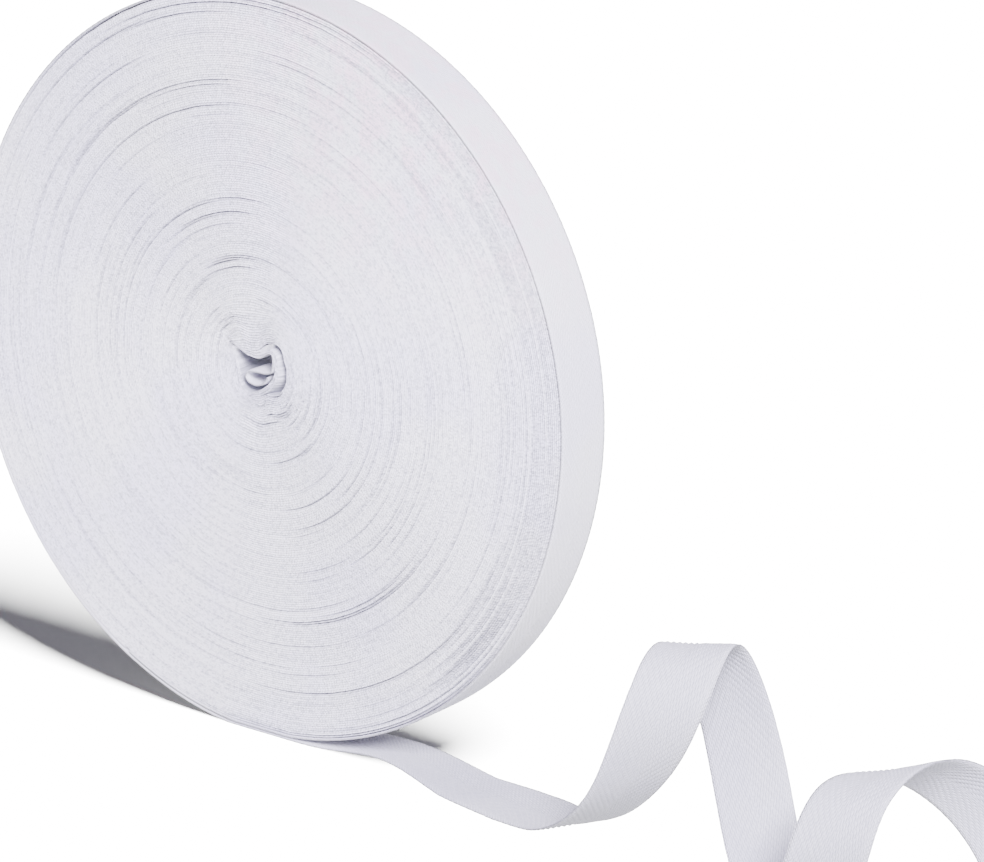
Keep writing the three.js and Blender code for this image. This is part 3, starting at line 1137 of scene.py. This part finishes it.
def woven_cotton(colours, sizes):
    """The tape's faces: columns of floats, each a step further along, that make up the ribs."""
    found = bpy.data.materials.get("woven_cotton")
    if found:
        return found
    material, tree, shader = cotton_material("woven_cotton")
    uv = tree.add("ShaderNodeUVMap", uv_map="UVMap").outputs[0]
    u, v, _w = tree.parts(uv)
    rib, border, hollow = tree.parts(attribute(tree, "weave", "Vector"))
    yarn = sizes.yarn / MM
    from_middle = tree.math("ABSOLUTE", v - tree.math("GREATER_THAN", v, 20) * 40)
    column = tree.math("FLOOR", from_middle / yarn)
    off_centre = from_middle - (column + 0.5) * yarn
    steps_on = off_centre * (MM / math.tan(sizes.rib_angle) / sizes.rib_pitch)
    float_share = tree.math("FRACT", rib + steps_on)
    along_float = tree.math("SINE", float_share * math.pi)
    across_yarn = tree.math("COSINE", off_centre * (math.pi / yarn))
    floats = along_float * (0.45 + across_yarn * 0.55)
    plain = 0.5 + 0.5 * tree.math("SINE", u * (2 * math.pi / 0.8) + column * math.pi)
    surface = tree.mixed(floats, plain * across_yarn, border)
    streak = tree.noise(tree.vector(u * 0.5, v * 2.6, 0), 1, 3, 0.6)
    loose = Number(tree, attribute(tree, "loose", "Fac"))
    # Painted shade between the floats and in the rib valleys, stronger where the tape lies loose, and
    # the loose tape painted darker overall as shade; the streaks are random tone
    shaded = (1 - surface) * 0.6 + hollow * 0.5
    shade_and_tone = shaded * (0.3 + loose * 0.7) + (streak - 0.5) * 0.5 + loose * 0.2
    yarn_finish(tree, shader, colours, shade_and_tone, surface, WEAVE_BUMP)
    return material


# The stage


def direction_from(azimuth, elevation):
    return Vector(
        (
            math.sin(azimuth) * math.cos(elevation),
            -math.cos(azimuth) * math.cos(elevation),
            math.sin(elevation),
        )
    )


def add_camera(context, stage):
    camera = bpy.data.objects.new("camera", bpy.data.cameras.new("camera"))
    context.scene.collection.objects.link(camera)
    camera.location = ROLL_CENTRE + direction_from(stage.azimuth, stage.elevation) * stage.distance
    look = -direction_from(stage.aim_azimuth, stage.aim_elevation)
    camera.rotation_euler = look.to_track_quat("-Z", "Y").to_euler()
    camera.data.lens = stage.lens
    camera.data.sensor_width = 36
    camera.data.clip_start = 0.01
    camera.data.clip_end = 20
    context.scene.camera = camera


def add_key_light(context, stage, floor):
    data = bpy.data.lights.new("key_light", "AREA")
    data.shape = "DISK"
    data.size = stage.key_size
    data.energy = stage.key_power
    data.color = stage.tint
    lamp = bpy.data.objects.new("key_light", data)
    context.scene.collection.objects.link(lamp)
    towards = direction_from(stage.key_azimuth, stage.key_elevation)
    lamp.location = ROLL_CENTRE + towards * stage.key_distance
    lamp.rotation_euler = (-towards).to_track_quat("-Z", "Y").to_euler()
    lamp.light_linking.receiver_collection = linked_to("all_but_floor", floor, "EXCLUDE")


def add_room_light(context, stage):
    world = bpy.data.worlds.new("soft_room")
    world.use_nodes = True
    background = world.node_tree.nodes["Background"]
    background.inputs["Color"].default_value = (*stage.tint, 1)
    background.inputs["Strength"].default_value = stage.room_light
    context.scene.world = world


PALE, DIM = (0.32, 0.32, 0.32), (0.02, 0.02, 0.02)
HALF_FLOOR = 4.0


def floor_material(stage):
    """A pale floor. To other things it is a dim one that glows, so that its bounce is even."""
    material = bpy.data.materials.new("floor_white")
    material.use_nodes = True
    tree = Tree(material.node_tree)
    shader = material.node_tree.nodes["Principled BSDF"]
    shader.inputs["Roughness"].default_value = 0.9
    shader.inputs["Specular IOR Level"].default_value = 0
    shader.inputs["Emission Color"].default_value = (1, 1, 1, 1)
    seen = Number(tree, tree.add("ShaderNodeLightPath").outputs["Is Camera Ray"])
    tree.feed(shader.inputs["Base Color"], colour_mix(tree, seen, rgba(DIM), rgba(PALE)))
    tree.feed(shader.inputs["Emission Strength"], (1 - seen) * stage.floor_bounce)
    return material


def add_floor(context, stage):
    mesh = bpy.data.meshes.new("floor")
    corners = [(x, y, 0) for x, y in ((-1, -1), (1, -1), (1, 1), (-1, 1))]
    corners = [Vector(corner) * HALF_FLOOR for corner in corners]
    mesh.from_pydata(corners, [], [(0, 1, 2, 3)])
    mesh.materials.append(floor_material(stage))
    floor = bpy.data.objects.new("floor", mesh)
    context.scene.collection.objects.link(floor)
    floor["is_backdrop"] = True
    return floor


def linked_to(name, thing, state):
    """A collection by which a light reaches one object alone, or leaves it out."""
    group = bpy.data.collections.new(name)
    group.objects.link(thing)
    group.collection_objects[0].light_linking.link_state = state
    return group


def add_floor_light(context, stage, floor):
    """Overexposes the floor, save in the roll's shadow. The loose end throws none."""
    data = bpy.data.lights.new("floor_light", "SUN")
    data.energy = stage.floor_light
    data.angle = stage.floor_light_angle
    lamp = bpy.data.objects.new("floor_light", data)
    context.scene.collection.objects.link(lamp)
    towards = direction_from(stage.shadow_azimuth, stage.shadow_elevation)
    lamp.rotation_euler = (-towards).to_track_quat("-Z", "Y").to_euler()
    lamp.light_linking.receiver_collection = linked_to("floor_only", floor, "INCLUDE")
    tape = bpy.data.objects.get("outer_tape")
    if tape:
        lamp.light_linking.blocker_collection = linked_to("past_tape", tape, "EXCLUDE")


class TAPE_OT_stage(bpy.types.Operator):
    """Sets the floor, the soft light and the camera"""

    bl_idname = "tape.stage"
    bl_label = "Floor, light and camera"

    def execute(self, context):
        stage = context.scene.tape_stage
        add_camera(context, stage)
        floor = add_floor(context, stage)
        add_room_light(context, stage)
        add_key_light(context, stage, floor)
        add_floor_light(context, stage, floor)
        return {"FINISHED"}


class TAPE_PT_panel(bpy.types.Panel):
    """Lists the pieces of the roll"""

    bl_idname = "TAPE_PT_panel"
    bl_label = "Roll of twill tape"
    bl_space_type = "VIEW_3D"
    bl_region_type = "UI"
    bl_category = "Twill tape"

    def draw(self, context):
        for group in ("tape_roll", "tape_sizes", "tape_colours", "tape_stage"):
            settings = getattr(context.scene, group)
            box = self.layout.box()
            for name in settings.bl_rna.properties.keys():
                if name not in {"rna_type", "name"}:
                    box.prop(settings, name)
        for operator in OPERATORS:
            self.layout.operator(operator.bl_idname)


GROUPS = {
    "tape_roll": RollSizes,
    "tape_sizes": TapeSizes,
    "tape_colours": CottonColours,
    "tape_stage": StageSettings,
}
OPERATORS = (TAPE_OT_wound_turns, TAPE_OT_core_fold, TAPE_OT_outer_tape, TAPE_OT_stage)


def register():
    for cls in (*GROUPS.values(), *OPERATORS, TAPE_PT_panel):
        bpy.utils.register_class(cls)
    for name, cls in GROUPS.items():
        setattr(bpy.types.Scene, name, PointerProperty(type=cls))


def unregister():
    for name in GROUPS:
        delattr(bpy.types.Scene, name)
    for cls in (TAPE_PT_panel, *reversed(OPERATORS), *reversed(list(GROUPS.values()))):
        bpy.utils.unregister_class(cls)


def main():
    register()
    bpy.ops.tape.wound_turns()
    bpy.ops.tape.core_fold()
    bpy.ops.tape.outer_tape()
    bpy.ops.tape.stage()
    low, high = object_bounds()
    boxes = {"cad": [cad_low, cad_high], "visual": [low, high]}
    {k: [list(p) for p in v] for k, v in boxes.items()}


if __name__ == "__main__":
    main()
